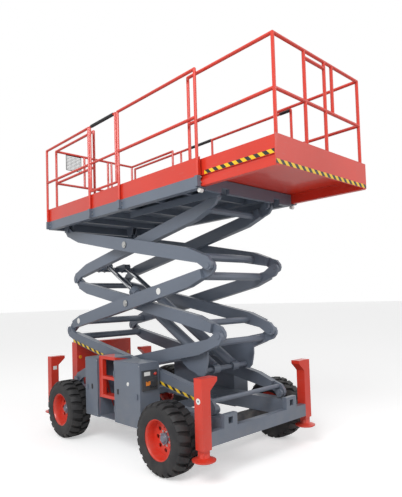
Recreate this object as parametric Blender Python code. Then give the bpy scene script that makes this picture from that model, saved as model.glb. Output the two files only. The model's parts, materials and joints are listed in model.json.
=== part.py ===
"""Rough-terrain scissor lift: four-wheel chassis with outriggers, three-level scissor stack, railed deck.

Metres, +Z up, +X to the front (the end the deck extension rolls out of), ground at z = 0.
X positions below are measured from the middle of the wheelbase; X_SHIFT then moves everything so
that the origin is under the middle of the whole machine.
"""

import math

import bmesh
import bpy
from mathutils import Vector

for old in list(bpy.data.objects):
    bpy.data.objects.remove(old, do_unlink=True)

# ---------------------------------------------------------------- driving dimensions
X_SHIFT = -0.331
GAP = 0.0003

HALF_WHEELBASE = 1.123
TYRE_R, TYRE_IN, TYRE_OUT = 0.404, 0.820, 1.120
RIM_R, WHEEL_SIDES = 0.2257, 20
KINGPIN_Y = 0.900

RAIL_IN, RAIL_OUT, RAIL_BOTTOM, RAIL_TOP = 0.500, 0.655, 0.450, 0.638
BUMPER_TOP, BUMPER_BOTTOM, BUMPER_Y = 0.540, 0.390, 0.8447

HINGE_X, ROLLER_X = -1.708, 1.502
PIN_Z0, LEVEL = 0.700, 0.7967
ARM_HALF_DEPTH, ARM_OFFSET = 0.078, 0.085
OUTER = (0.550, 0.640)
INNER = (0.420, 0.510)

FOOT = (1.100, 1.060)
HEAD = (-1.260, 2.490)
BARREL_Y, BARREL_R, BARREL_LEN, ROD_R, ROD_LEN = 0.170, 0.070, 1.950, 0.035, 2.300

CAB_OUT, CAB_IN, CAB_BOTTOM, CAB_TOP, SHEET = 0.950, 0.6553, 0.390, 1.170, 0.006
DOOR = 0.008

DECK_REAR, DECK_FRONT, DECK_Y = -1.931, 1.652, 0.850
BEAM_BOTTOM, BEAM_TOP, FLOOR_TOP = 3.112, 3.242, 3.238
TOE_TOP, MID_Z, TOP_Z = 3.444, 3.871, 4.398
RAIL_Y, INNER_RAIL_Y, TUBE_R = 0.870, 0.790, 0.019
EXT_FRONT, EXT_REAR = 2.652, 1.100

PAINT = {
    "red": ((0.75, 0.04, 0.02), 0.42, 0.0),
    "grey": ((0.16, 0.19, 0.25), 0.5, 0.0),
    "dark": ((0.05, 0.055, 0.065), 0.55, 0.2),
    "tyre": ((0.012, 0.012, 0.013), 0.85, 0.0),
    "steel": ((0.55, 0.56, 0.58), 0.25, 1.0),
}


# ---------------------------------------------------------------- helpers
def from_bmesh(bm, name="tool"):
    bmesh.ops.recalc_face_normals(bm, faces=bm.faces)
    mesh = bpy.data.meshes.new(name)
    bm.to_mesh(mesh)
    bm.free()
    tool = bpy.data.objects.new(name, mesh)
    bpy.context.scene.collection.objects.link(tool)
    tool.hide_render = True
    tool.display_type = "WIRE"
    return tool


def extruded(corners, sweep):
    """A flat outline (3-D corners) extruded along the sweep vector."""
    bm = bmesh.new()
    face = bm.faces.new([bm.verts.new(c) for c in corners])
    moved = bmesh.ops.extrude_face_region(bm, geom=[face])["geom"]
    bmesh.ops.translate(bm, verts=[v for v in moved if isinstance(v, bmesh.types.BMVert)], vec=sweep)
    return from_bmesh(bm)


def plate_y(profile, y0, y1):
    return extruded([(x, y0, z) for x, z in profile], (0, y1 - y0, 0))


def plate_x(profile, x0, x1):
    return extruded([(x0, y, z) for y, z in profile], (x1 - x0, 0, 0))


def plate_z(profile, z0, z1):
    return extruded([(x, y, z0) for x, y in profile], (0, 0, z1 - z0))


def box(x0, x1, y0, y1, z0, z1):
    return plate_z([(x0, y0), (x1, y0), (x1, y1), (x0, y1)], z0, z1)


def rod(start, end, radius, sides=10):
    """A round bar between two points."""
    start, end = Vector(start), Vector(end)
    axis = end - start
    turn = axis.to_track_quat("Z", "Y")
    ring = [
        start + turn @ Vector((radius * math.cos(a), radius * math.sin(a), 0))
        for a in (2 * math.pi * (k + 0.5) / sides for k in range(sides))
    ]
    return extruded(ring, axis)


def rod_y(x, z, y0, y1, radius, sides=12):
    return rod((x, y0, z), (x, y1, z), radius, sides)


def turned(profile, centre, axis, sides=24):
    """A closed (radius, along-axis) outline spun round the axis 'y' or 'z' through the centre."""
    bm = bmesh.new()
    rings = []
    for radius, along in profile:
        ring = []
        for k in range(sides):
            a = 2 * math.pi * k / sides
            c, s = radius * math.cos(a), radius * math.sin(a)
            offset = (c, along, s) if axis == "y" else (c, s, along)
            ring.append(bm.verts.new(Vector(centre) + Vector(offset)))
        rings.append(ring)
    for ring, nxt in zip(rings, rings[1:] + rings[:1]):
        for k in range(sides):
            m = (k + 1) % sides
            bm.faces.new((ring[k], ring[m], nxt[m], nxt[k]))
    bmesh.ops.remove_doubles(bm, verts=bm.verts, dist=1e-6)
    return from_bmesh(bm)


def node(name, paint, adds, cuts=(), pivot=(0.0, 0.0, 0.0)):
    """Unites the adds, takes the cuts away, and leaves one named object with its origin on the pivot."""
    base = adds[0]
    groups = []
    for tag, tools, operation in (("add", adds[1:], "UNION"), ("cut", list(cuts), "DIFFERENCE")):
        if not tools:
            continue
        group = bpy.data.collections.new(f"{name}_{tag}")
        bpy.context.scene.collection.children.link(group)
        for tool in tools:
            bpy.context.scene.collection.objects.unlink(tool)
            group.objects.link(tool)
        modifier = base.modifiers.new(tag, "BOOLEAN")
        modifier.operation = operation
        modifier.operand_type = "COLLECTION"
        modifier.collection = group
        modifier.solver = "EXACT"
        groups.append(group)
    graph = bpy.context.evaluated_depsgraph_get()
    mesh = bpy.data.meshes.new_from_object(base.evaluated_get(graph))
    for tool in adds + list(cuts):
        bpy.data.objects.remove(tool, do_unlink=True)
    for group in groups:
        bpy.data.collections.remove(group)
    mesh.name = name
    bm = bmesh.new()
    bm.from_mesh(mesh)
    bmesh.ops.remove_doubles(bm, verts=bm.verts, dist=2e-6)
    bmesh.ops.dissolve_degenerate(bm, edges=bm.edges, dist=1e-6)
    bmesh.ops.dissolve_limit(bm, angle_limit=math.radians(0.05), verts=bm.verts, edges=bm.edges)
    bmesh.ops.translate(bm, verts=bm.verts, vec=-Vector(pivot))
    bm.to_mesh(mesh)
    bm.free()
    mesh.materials.clear()
    mesh.materials.append(finish(name, paint))
    mesh.shade_smooth()
    mesh.set_sharp_from_angle(angle=math.radians(35))
    piece = bpy.data.objects.new(name, mesh)
    piece.location = Vector(pivot) + Vector((X_SHIFT, 0, 0))
    bpy.context.scene.collection.objects.link(piece)
    return piece


def finish(name, paint):
    colour, roughness, metallic = PAINT[paint]
    material = bpy.data.materials.new(f"{name}_{paint}")
    material.use_nodes = True
    shader = material.node_tree.nodes["Principled BSDF"]
    shader.inputs["Base Color"].default_value = (*colour, 1)
    shader.inputs["Roughness"].default_value = roughness
    shader.inputs["Metallic"].default_value = metallic
    return material


# ---------------------------------------------------------------- chassis frame
def span(sign, y0, y1):
    return (sign * y0, sign * y1) if sign > 0 else (sign * y1, sign * y0)


def chassis_frame():
    adds, cuts = [], []
    for sign in (-1, 1):
        adds.append(box(-1.780, 1.655, *span(sign, RAIL_IN, RAIL_OUT), RAIL_BOTTOM, RAIL_TOP))
        adds.append(box(1.640, 1.700, *span(sign, 0.445, 0.650), 0.530, 0.680))
        cuts.append(box(1.600, 1.750, *span(sign, 0.515, 0.585), 0.575, 0.645))
        for y0, y1 in ((0.428, 0.458), (0.520, 0.545)):
            adds.append(
                plate_y(
                    [(-1.775, 0.560), (-1.630, 0.560), (-1.665, 0.745), (-1.750, 0.745)],
                    *span(sign, y0, y1),
                )
            )
        adds.append(rod_y(HINGE_X, PIN_Z0, *span(sign, 0.440, 0.532), 0.025))
        adds.append(box(-1.800, -1.680, *span(sign, 0.600, BUMPER_Y), BUMPER_BOTTOM, BUMPER_TOP))
        for x in (-0.560, 0.420):
            adds.append(box(x - 0.040, x + 0.040, *span(sign, 0.620, 0.652), 0.420, 0.500))
    adds.append(box(1.620, 1.700, -BUMPER_Y, BUMPER_Y, BUMPER_BOTTOM, BUMPER_TOP))
    adds.append(box(-1.800, -1.720, -BUMPER_Y, BUMPER_Y, BUMPER_BOTTOM, BUMPER_TOP))
    adds.append(box(-1.990, -1.760, -0.620, 0.620, 0.500, 0.540))
    adds.append(box(-1.760, -1.620, -0.560, 0.560, 0.460, 0.600))
    for x in (-0.700, 0.400):
        adds.append(box(x - 0.050, x + 0.050, -0.540, 0.540, 0.470, 0.560))
    return node("chassis_frame", "grey", adds, cuts)


def axle(name, x, steered):
    end = 0.845 if steered else 0.780
    adds = [box(x - 0.055, x + 0.055, -end, end, 0.350, RAIL_BOTTOM - GAP)]
    cuts = []
    for sign in (-1, 1):
        if steered:
            for z0, z1 in ((0.490, 0.515), (0.293, 0.318)):
                adds.append(box(x - 0.035, x + 0.035, *span(sign, 0.825, 0.935), z0, z1))
            adds.append(box(x - 0.035, x + 0.035, *span(sign, 0.822, 0.846), 0.300, 0.510))
            cuts.append(rod((x, sign * KINGPIN_Y, 0.2), (x, sign * KINGPIN_Y, 0.6), 0.0225))
        else:
            adds.append(rod_y(x, TYRE_R, *span(sign, 0.700, 1.024), 0.040))
    if not steered:
        adds.append(turned([(0, -0.13), (0.09, -0.11), (0.13, 0), (0.09, 0.11), (0, 0.13)], (x, 0, 0.4), "y", 16))
    return node(name, "dark", adds, cuts)


def knuckle(name, sign):
    x, y = HALF_WHEELBASE, sign * KINGPIN_Y
    adds = [
        box(x - 0.032, x + 0.032, y - 0.032, y + 0.032, 0.322, 0.486),
        rod((x, y, 0.300), (x, y, 0.508), 0.020),
        rod_y(x, TYRE_R, *span(sign, 0.900, 1.024), 0.040),
    ]
    return node(name, "dark", adds, pivot=(x, y, TYRE_R))


def wheel(tag, x, sign):
    mirror = [(r, sign * y) for r, y in (
        (RIM_R, 0.835), (RIM_R, 1.105), (0.214, 1.105), (0.197, 1.005), (0.110, 0.998), (0.105, 1.030),
        (0.070, 1.034), (0.066, 1.076), (0, 1.076), (0, 1.028), (0.044, 1.028), (0.044, 0.978),
        (0.190, 0.984), (0.205, 0.960), (0.205, 0.835),
    )]
    rim = turned(mirror, (x, 0, TYRE_R), "y", WHEEL_SIDES)
    centre = (x, sign * 0.970, TYRE_R)
    node(f"rim_{tag}", "red", [rim], pivot=centre)
    tyre = turned(
        [(r, sign * y) for r, y in (
            (RIM_R + GAP, 0.840), (0.262, 0.826), (0.330, TYRE_IN), (0.378, 0.830), (TYRE_R, 0.880),
            (TYRE_R, 1.060), (0.378, 1.110), (0.330, TYRE_OUT), (0.262, 1.114), (RIM_R + GAP, 1.100),
        )],
        (x, 0, TYRE_R), "y", WHEEL_SIDES,
    )
    node(f"tyre_{tag}", "tyre", [tyre], pivot=centre)


# ---------------------------------------------------------------- outriggers
def outrigger(tag, x, sign):
    y0, y1 = 0.845, 0.965
    head = [(y1, 0.965), (y0, 0.965), (0.739, 1.060), (0.739, 1.100), (y1, 1.100)]
    adds = [
        box(x - 0.060, x + 0.060, *span(sign, y0, y1), 0.363, 1.000),
        plate_x([(sign * y, z) for y, z in head], x - 0.060, x + 0.060),
    ]
    cuts = [box(x - 0.050, x + 0.050, *span(sign, y0 + 0.010, y1 - 0.010), 0.300, 0.950)]
    node(f"outrigger_{tag}", "red", adds, cuts)
    yc = sign * 0.905
    leg = [
        box(x - 0.044, x + 0.044, yc - 0.044, yc + 0.044, 0.285, 0.930),
        turned([(0, 0.245), (0.110, 0.245), (0.1275, 0.256), (0.1275, 0.268), (0.060, 0.290), (0.050, 0.330),
                (0, 0.330)], (x, yc, 0), "z", 24),
    ]
    node(f"outrigger_leg_{tag}", "red", leg, pivot=(x, yc, 0.245))


# ---------------------------------------------------------------- cabinets, ladder, covers
def cabinet(tag, x0, x1, sign, door_hinge):
    """A hollow sheet box open on its outer side, and the door that closes it."""
    face = CAB_OUT - DOOR - 0.001
    shell = [box(x0, x1, *span(sign, CAB_IN, face), CAB_BOTTOM, CAB_TOP)]
    hollow = [box(x0 + SHEET, x1 - SHEET, *span(sign, CAB_IN + SHEET, 1.2), CAB_BOTTOM + SHEET, CAB_TOP - SHEET)]
    node(f"cabinet_{tag}", "grey", shell, hollow)
    hx = x0 + 0.010 if door_hinge == "rear" else x1 - 0.010
    door_x = (hx, x1 - 0.003) if door_hinge == "rear" else (x0 + 0.003, hx)
    door = [
        box(*door_x, *span(sign, face + GAP + 0.0007, CAB_OUT), CAB_BOTTOM + 0.004, CAB_TOP - 0.004),
        rod((hx, sign * (CAB_OUT + 0.002), 0.520), (hx, sign * (CAB_OUT + 0.002), 0.600), 0.008, 10),
        rod((hx, sign * (CAB_OUT + 0.002), 0.960), (hx, sign * (CAB_OUT + 0.002), 1.040), 0.008, 10),
    ]
    lx = x1 - 0.060 if door_hinge == "rear" else x0 + 0.060
    door.append(box(lx - 0.012, lx + 0.012, *span(sign, CAB_OUT - 0.004, CAB_OUT + 0.014), 0.740, 0.800))
    node(f"door_{tag}", "grey", door, pivot=(hx, sign * (CAB_OUT + 0.002), 0.78))


def ladder():
    """Step frame between the two right-hand cabinets: one post, three rungs and a recessed foot well."""
    x0, x1 = -0.345 + GAP, 0.040 - GAP
    adds = [
        box(x0, x0 + 0.085, -0.925, -0.870, 0.690, 1.205),
        box(x0, x1, -0.925, -0.680, 1.165, 1.205),
        box(x0, x1, -0.925, -0.860, 0.905, 0.945),
        box(x0, x1, -0.925, -0.800, 0.660, 0.700),
        box(x0, x1, -0.686, -0.660, 0.400, 1.190),
        box(x0, x1, -0.925, -0.670, 0.400, 0.412),
        box(x0, x0 + 0.006, -0.925, -0.670, 0.400, 0.700),
        box(x0, x0 + 0.006, -0.880, -0.670, 0.690, 1.190),
    ]
    return node("step_ladder", "red", adds)


def rear_cover():
    adds = [box(-1.985, -1.820, -0.450, 0.610, BUMPER_TOP + GAP, 1.270)]
    cuts = [box(-1.980, -1.825, -0.445, 0.605, 0.500, 1.265)]
    return node("rear_cover", "red", adds, cuts)


def ground_panel():
    x0 = 0.610 + GAP
    adds = [box(x0, x0 + 0.018, -0.925, -0.700, 0.840, 1.080)]
    for y, z, radius, length in (
        (-0.745, 1.045, 0.016, 0.034), (-0.760, 0.930, 0.014, 0.030), (-0.855, 0.955, 0.012, 0.028),
        (-0.815, 0.900, 0.010, 0.026),
    ):
        adds.append(rod((x0 + 0.010, y, z), (x0 + length, y, z), radius, 12))
    return node("ground_panel", "dark", adds)


# ---------------------------------------------------------------- scissor stack
class Arm:
    """One arm pair. s runs along the pin line from the lower pin, w is square to it and upward."""

    def __init__(self, level, kind):
        low, high = PIN_Z0 + (level - 1) * LEVEL, PIN_Z0 + level * LEVEL
        rises_forward = (kind == "inner") == (level % 2 == 1)
        rear, front = HINGE_X, ROLLER_X
        self.lower = Vector((rear if rises_forward else front, low))
        self.upper = Vector((front if rises_forward else rear, high))
        self.length = (self.upper - self.lower).length
        self.along = (self.upper - self.lower).normalized()
        self.normal = Vector((-self.along.y, self.along.x))
        if self.normal.y < 0:
            self.normal = -self.normal
        self.kind, self.level = kind, level
        self.y = INNER if kind == "inner" else OUTER
        self.bulge = 0.010 if kind == "outer" else 0.0

    def at(self, s, w):
        point = self.lower + self.along * s + self.normal * w
        return (point.x, point.y)

    def edge(self, s, side):
        return side * ARM_HALF_DEPTH + ARM_OFFSET * (1 - 2 * s / self.length)

    def body(self):
        length, mid, b = self.length, self.length / 2, self.bulge
        outline = [
            (0.13, self.edge(0.13, -1)), (mid - 0.40, self.edge(mid - 0.40, -1) - b),
            (mid + 0.40, self.edge(mid + 0.40, -1) - b), (length - 0.38, self.edge(length - 0.38, -1)),
            (length - 0.13, -0.112), (length - 0.13, self.edge(length - 0.13, 1)),
            (mid + 0.40, self.edge(mid + 0.40, 1) + b), (mid - 0.40, self.edge(mid - 0.40, 1) + b),
            (0.38, self.edge(0.38, 1)), (0.13, 0.112),
        ]
        return [self.at(s, w) for s, w in outline]

    def knuckle(self, end):
        outline = [
            (0.17, 0.113), (0.02, 0.100), (-0.040, 0.055), (-0.055, 0.018), (-0.050, -0.025),
            (-0.022, -0.050), (0.022, -0.050), (0.17, self.edge(0.17, -1)),
        ]
        if end == "upper":
            outline = [(self.length - s, -w) for s, w in outline]
        return [self.at(s, w) for s, w in outline]

    def tube(self, s, w, radius, reach=None):
        x, z = self.at(s, w)
        reach = reach or self.y[0] + 0.02
        return rod_y(x, z, -reach, reach, radius, 10)


def half_layers(y):
    middle = (y[0] + y[1]) / 2
    return (y[0], middle - 0.003), (middle + 0.003, y[1])


def arms(name, level, kind, tubes, pins=(), bores=(), layers=("outer", "outer"), extra=(), roller=None):
    """pins and bores name the ends ('lower', 'upper') whose pin this pair carries, or is drilled for."""
    arm = Arm(level, kind)
    adds, cuts = [], []
    mid_x, mid_z = arm.at(arm.length / 2, 0)
    inside, outside = half_layers(arm.y)
    for sign in (-1, 1):
        adds.append(plate_y(arm.body(), *span(sign, *arm.y)))
        for end, layer in zip(("lower", "upper"), layers):
            y0, y1 = inside if layer == "inner" else outside
            adds.append(plate_y(arm.knuckle(end), *span(sign, y0, y1)))
        if kind == "inner":
            adds.append(rod_y(mid_x, mid_z, *span(sign, arm.y[1] - 0.02, OUTER[0] - 0.006), 0.055))
            adds.append(rod_y(mid_x, mid_z, *span(sign, arm.y[1] - 0.02, OUTER[1] + 0.008), 0.030))
        else:
            cuts.append(rod_y(mid_x, mid_z, *span(sign, 0.50, 0.70), 0.034))
        for end in pins:
            x, z = arm.at(0 if end == "lower" else arm.length, 0)
            adds.append(rod_y(x, z, *span(sign, arm.y[0] - 0.004, arm.y[1] - 0.01), 0.022))
            adds.append(rod_y(x, z, *span(sign, arm.y[1] - 0.01, arm.y[1] + 0.008), 0.034))
        for end, radius in bores:
            x, z = arm.at(0 if end == "lower" else arm.length, 0)
            cuts.append(rod_y(x, z, *span(sign, arm.y[0] - 0.05, arm.y[1] + 0.05), radius))
        if roller:
            x, z = arm.at(0 if roller == "lower" else arm.length, 0)
            adds.append(rod_y(x, z, *span(sign, arm.y[0] + 0.004, arm.y[0] + 0.036), 0.050, 14))
            adds.append(rod_y(x, z, *span(sign, arm.y[0] - 0.004, arm.y[1] + 0.006), 0.022))
    for s, w, radius, *reach in tubes:
        adds.append(arm.tube(s if s > 0 else arm.length + s, w, radius, *reach))
    pivot = {"B1": arm.lower, "A2": arm.lower, "A3": arm.lower}.get(name[-2:])
    if pivot is None:
        pivot = Vector((mid_x, mid_z))
    return node(name, "grey", adds + list(extra), cuts, pivot=(pivot.x, 0, pivot.y))


def foot_gussets():
    """Two side gussets under the first inner pair and the cross shaft that the cylinders push on."""
    outline = [
        (0.700, 1.235), (0.800, 1.130), (0.900, 1.068), (1.000, 1.040), (1.060, 1.005), (1.150, 1.005),
        (1.200, 1.050), (1.235, 1.200), (1.235, 1.370), (0.700, 1.300),
    ]
    adds = [plate_y(outline, *span(sign, 0.400, 0.424)) for sign in (-1, 1)]
    adds.append(rod_y(*FOOT, -0.412, 0.412, 0.030))
    return adds


def head_lugs(arm):
    """Four lugs on the third inner pair that the cylinder rods reach between."""
    tube_x, tube_z = arm.at(0.300, 0.090)
    x, z = HEAD
    outline = [
        (tube_x - 0.040, tube_z - 0.050), (x + 0.030, z - 0.045), (x + 0.042, z + 0.010), (x + 0.015, z + 0.045),
        (tube_x - 0.040, tube_z + 0.055),
    ]
    adds = []
    for sign in (-1, 1):
        for y0 in (0.112, 0.216):
            adds.append(plate_y(outline, *span(sign, y0, y0 + 0.012)))
    return adds


def cylinder(tag, sign):
    """Lift cylinder: barrel from its foot eye, and the rod that ends in an eye between the lugs."""
    foot = Vector((FOOT[0], sign * BARREL_Y, FOOT[1]))
    head = Vector((HEAD[0], sign * BARREL_Y, HEAD[1]))
    along = (head - foot).normalized()
    end = foot + along * BARREL_LEN
    adds = [
        rod(foot + along * 0.030, end, BARREL_R, 16),
        rod_y(foot.x, foot.z, foot.y - 0.055, foot.y + 0.055, 0.056, 14),
        rod(foot + along * (BARREL_LEN - 0.10), foot + along * (BARREL_LEN + 0.01), BARREL_R + 0.012, 16),
    ]
    cuts = [
        rod_y(foot.x, foot.z, foot.y - 0.1, foot.y + 0.1, 0.034),
        rod(foot + along * 0.130, foot + along * (BARREL_LEN - 0.06), 0.050, 12),
        rod(foot + along * 0.130, end + along * 0.1, ROD_R + 0.005, 12),
    ]
    node(f"lift_barrel_{tag}", "dark", adds, cuts, pivot=tuple(foot))
    adds = [
        rod(head - along * ROD_LEN, head - along * 0.020, ROD_R, 12),
        rod_y(head.x, head.z, head.y - 0.036, head.y + 0.036, 0.045, 14),
    ]
    node(f"lift_rod_{tag}", "steel", adds, pivot=tuple(head))


# ---------------------------------------------------------------- platform
TRACK_REAR = -0.100
TRACK_INNER, TRACK_OUTER = 0.400, 0.534
TREAD = 0.002


def deck_frame():
    adds = [
        box(DECK_REAR, DECK_FRONT, -0.771, 0.771, FLOOR_TOP - 0.008, FLOOR_TOP),
        box(DECK_REAR + 0.140, EXT_REAR - 0.040, -0.700, 0.700, FLOOR_TOP - 0.003, FLOOR_TOP + TREAD),
        box(DECK_FRONT - 0.055, DECK_FRONT, -0.768, 0.768, 3.092, FLOOR_TOP - 0.004),
        box(DECK_REAR, DECK_REAR + 0.060, -0.848, 0.848, BEAM_BOTTOM, FLOOR_TOP - 0.004),
    ]
    cuts = []
    for sign in (-1, 1):
        adds.append(box(DECK_REAR, DECK_FRONT, *span(sign, 0.844, DECK_Y), BEAM_BOTTOM, BEAM_TOP))
        adds.append(box(DECK_REAR, DECK_FRONT, *span(sign, 0.765, DECK_Y - 0.002), BEAM_BOTTOM, BEAM_BOTTOM + 0.007))
        adds.append(box(DECK_REAR, DECK_FRONT, *span(sign, 0.765, 0.772), BEAM_BOTTOM, FLOOR_TOP - 0.003))
        track = (TRACK_REAR, DECK_FRONT - 0.02)
        cuts.append(box(DECK_FRONT - 0.062, DECK_FRONT + 0.010, *span(sign, TRACK_INNER, TRACK_OUTER - 0.0085), 3.050, 3.150))
        adds.append(box(*track, *span(sign, TRACK_INNER + 0.005, TRACK_OUTER - 0.004), 3.150, 3.158))
        adds.append(box(*track, *span(sign, TRACK_OUTER - 0.008, TRACK_OUTER), 3.070, 3.156))
        adds.append(box(*track, *span(sign, TRACK_INNER, TRACK_INNER + 0.008), 3.150, 3.234))
        for y0, y1 in ((0.562, 0.588), (0.648, 0.664)):
            adds.append(
                plate_y(
                    [(HINGE_X - 0.045, 3.055), (HINGE_X + 0.045, 3.055), (HINGE_X + 0.090, 3.234), (HINGE_X - 0.090, 3.234)],
                    *span(sign, y0, y1),
                )
            )
        adds.append(rod_y(HINGE_X, PIN_Z0 + 3 * LEVEL, *span(sign, 0.570, 0.655), 0.022))
    for x in (-1.200, -0.600, 0.000, 0.600, 1.150):
        adds.append(box(x - 0.025, x + 0.025, -0.768, 0.768, 3.156, FLOOR_TOP - 0.004))
    return node("deck_frame", "grey", adds, cuts, pivot=(HINGE_X, 0, PIN_Z0 + 3 * LEVEL))


def toe_boards():
    z0 = BEAM_TOP + GAP
    adds = [box(DECK_REAR, DECK_REAR + 0.006, -DECK_Y, DECK_Y, z0, TOE_TOP)]
    for sign in (-1, 1):
        adds.append(box(DECK_REAR, DECK_FRONT, *span(sign, 0.844, DECK_Y), z0, TOE_TOP))
    return node("toe_boards", "red", adds, pivot=(HINGE_X, 0, z0))


def tube_frame(points, radius=TUBE_R):
    return [rod(a, b, radius, 8) for a, b in points]


def knee(x, y, z):
    """A short ball-like corner where two rail tubes meet."""
    return turned([(0, -TUBE_R), (TUBE_R * 0.72, -TUBE_R * 0.72), (TUBE_R, 0), (TUBE_R * 0.72, TUBE_R * 0.72),
                   (0, TUBE_R)], (x, y, z), "z", 8)


def side_rail(name, y, posts, foot=BEAM_BOTTOM + 0.020):
    """Top and mid rails between the first and the last post, which stand in sockets on the side beam."""
    x0, x1 = posts[0], posts[-1]
    bars = [((x0, y, TOP_Z), (x1, y, TOP_Z)), ((x0, y, MID_Z), (x1, y, MID_Z))]
    bars += [((x, y, foot), (x, y, TOP_Z)) for x in posts]
    adds = tube_frame(bars) + [knee(x0, y, TOP_Z), knee(x1, y, TOP_Z)]
    return node(name, "red", adds, pivot=(x0, y, foot))


def rear_rail():
    """U-shaped inner panel round the rear end, standing on the deck inside the toe boards."""
    y, x0, x1, foot = INNER_RAIL_Y - 0.045, DECK_REAR + 0.085, -0.670, FLOOR_TOP + GAP
    bars = [((x0, -y, TOP_Z), (x0, y, TOP_Z)), ((x0, -y, MID_Z), (x0, y, MID_Z))]
    for sign in (-1, 1):
        bars += [
            ((x0, sign * y, TOP_Z), (x1, sign * y, TOP_Z)), ((x0, sign * y, MID_Z), (x1, sign * y, MID_Z)),
            ((x0, sign * y, foot), (x0, sign * y, TOP_Z)), ((x1, sign * y, foot), (x1, sign * y, TOP_Z)),
        ]
    bars += [((x0, py, MID_Z), (x0, py, TOP_Z)) for py in (-0.234, 0.231, 0.304)]
    adds = tube_frame(bars) + [knee(x, s * y, TOP_Z) for x in (x0, x1) for s in (-1, 1)]
    return node("rail_rear", "red", adds, pivot=(x0, 0, foot))


def gate():
    """Entry gate in the right-hand side, above the step ladder; it swings inward."""
    x0, x1, y = -0.555, 0.085, -RAIL_Y
    bars = [
        ((x0, y, TOP_Z), (x1, y, TOP_Z)), ((x0, y, MID_Z), (x1, y, MID_Z)), ((x0, y, 3.480), (x1, y, 3.480)),
        ((x0, y, 3.480), (x0, y, TOP_Z)), ((x1, y, 3.480), (x1, y, TOP_Z)),
    ]
    adds = tube_frame(bars, 0.016) + [knee(x0, y, TOP_Z - 0.002), knee(x1, y, TOP_Z - 0.002)]
    return node("gate", "red", adds, pivot=(x1, y, 3.48))


def extension_deck():
    floor = 3.246
    adds = [
        box(EXT_REAR, EXT_FRONT, -0.815, 0.815, floor, floor + 0.006),
        box(EXT_REAR + 0.040, EXT_FRONT - 0.072, -0.740, 0.740, floor + 0.004, floor + 0.006 + TREAD),
        box(EXT_FRONT - 0.007, EXT_FRONT, -DECK_Y, DECK_Y, 3.138, 3.426),
        box(EXT_FRONT - 0.060, EXT_FRONT - 0.004, -0.80, 0.80, 3.180, floor + 0.003),
    ]
    for sign in (-1, 1):
        adds.append(box(EXT_REAR, EXT_FRONT - 0.003, *span(sign, 0.779, 0.837), 3.126, 3.190))
        adds.append(box(EXT_REAR, EXT_FRONT - 0.003, *span(sign, 0.785, 0.800), 3.186, floor + 0.003))
        adds.append(box(EXT_REAR, EXT_FRONT - 0.003, *span(sign, 0.809, 0.815), floor, 3.426))
    return node("extension_deck", "red", adds, pivot=(EXT_FRONT, 0, floor))


def extension_rails():
    x0, x1, y, foot = 1.430, EXT_FRONT - 0.032, 0.786, 3.252 + GAP
    bars = [((x1, -y, TOP_Z), (x1, y, TOP_Z)), ((x1, -y, MID_Z), (x1, y, MID_Z))]
    for sign in (-1, 1):
        bars += [
            ((x0, sign * y, TOP_Z), (x1, sign * y, TOP_Z)), ((x0, sign * y, MID_Z), (x1, sign * y, MID_Z)),
            ((x0, sign * y, foot), (x0, sign * y, TOP_Z)), ((x1, sign * y, foot), (x1, sign * y, TOP_Z)),
        ]
    bars += [((x1, py, foot), (x1, py, TOP_Z)) for py in (-0.285, 0.085)]
    bars += [((x1, 0.232, MID_Z), (x1, 0.232, TOP_Z)), ((x1, -0.285, 4.325), (x1, 0.085, 4.325))]
    adds = tube_frame(bars) + [knee(x, s * y, TOP_Z) for x in (x0, x1) for s in (-1, 1)]
    return node("extension_rails", "red", adds, pivot=(x1, 0, foot))


# ---------------------------------------------------------------- build
chassis_frame()
axle("axle_front", HALF_WHEELBASE, True)
axle("axle_rear", -HALF_WHEELBASE, False)
knuckle("knuckle_right", -1)
knuckle("knuckle_left", 1)
for tag, x, sign in (
    ("front_right", HALF_WHEELBASE, -1), ("front_left", HALF_WHEELBASE, 1),
    ("rear_right", -HALF_WHEELBASE, -1), ("rear_left", -HALF_WHEELBASE, 1),
):
    wheel(tag, x, sign)
for tag, x, sign in (
    ("front_right", 1.640, -1), ("front_left", 1.640, 1), ("rear_right", -1.740, -1), ("rear_left", -1.740, 1),
):
    outrigger(tag, x, sign)
cabinet("right_rear", -0.670, -0.345, -1, "front")
cabinet("right_front", 0.040, 0.610, -1, "rear")
cabinet("left", -0.670, 0.640, 1, "rear")
ladder()
rear_cover()
ground_panel()
node("engine_block", "dark", [box(-0.400, 0.250, 0.675, 0.900, CAB_BOTTOM + SHEET + GAP, 0.950)])

arms("scissor_B1", 1, "inner", [(-0.16, -0.055, 0.040)], pins=("upper",), bores=(("lower", 0.028),),
     extra=foot_gussets())
arms("scissor_A1", 1, "outer", [(0.055, 0.070, 0.028, 0.625), (-0.25, -0.045, 0.050)], pins=("upper",),
     roller="lower")
arms("scissor_A2", 2, "outer", [(0.38, 0.045, 0.050), (-0.25, -0.045, 0.050)],
     bores=(("lower", 0.025), ("upper", 0.025)), layers=("inner", "inner"))
arms("scissor_B2", 2, "inner", [(0.38, 0.045, 0.040), (-0.25, -0.045, 0.045)],
     bores=(("lower", 0.025), ("upper", 0.025)), layers=("inner", "inner"))
arms("scissor_A3", 3, "outer", [(0.38, 0.045, 0.050), (-0.25, -0.045, 0.050)], pins=("lower",),
     bores=(("upper", 0.025),))
arms("scissor_B3", 3, "inner", [(0.30, 0.090, 0.040), (-0.25, -0.045, 0.045)], pins=("lower",),
     roller="upper", extra=head_lugs(Arm(3, "inner")))
cylinder("right", -1)
cylinder("left", 1)

deck_frame()
toe_boards()
side_rail("rail_right_rear", -RAIL_Y, (DECK_REAR + 0.012, -0.600))
side_rail("rail_right_front", -RAIL_Y, (0.140, 1.630))
side_rail("rail_left", RAIL_Y, (DECK_REAR + 0.012, -0.600, 0.140, 1.630))
rear_rail()
gate()
extension_deck()
extension_rails()
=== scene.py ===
import json
import math

import bmesh
import bpy
from mathutils import Matrix, Vector


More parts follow.
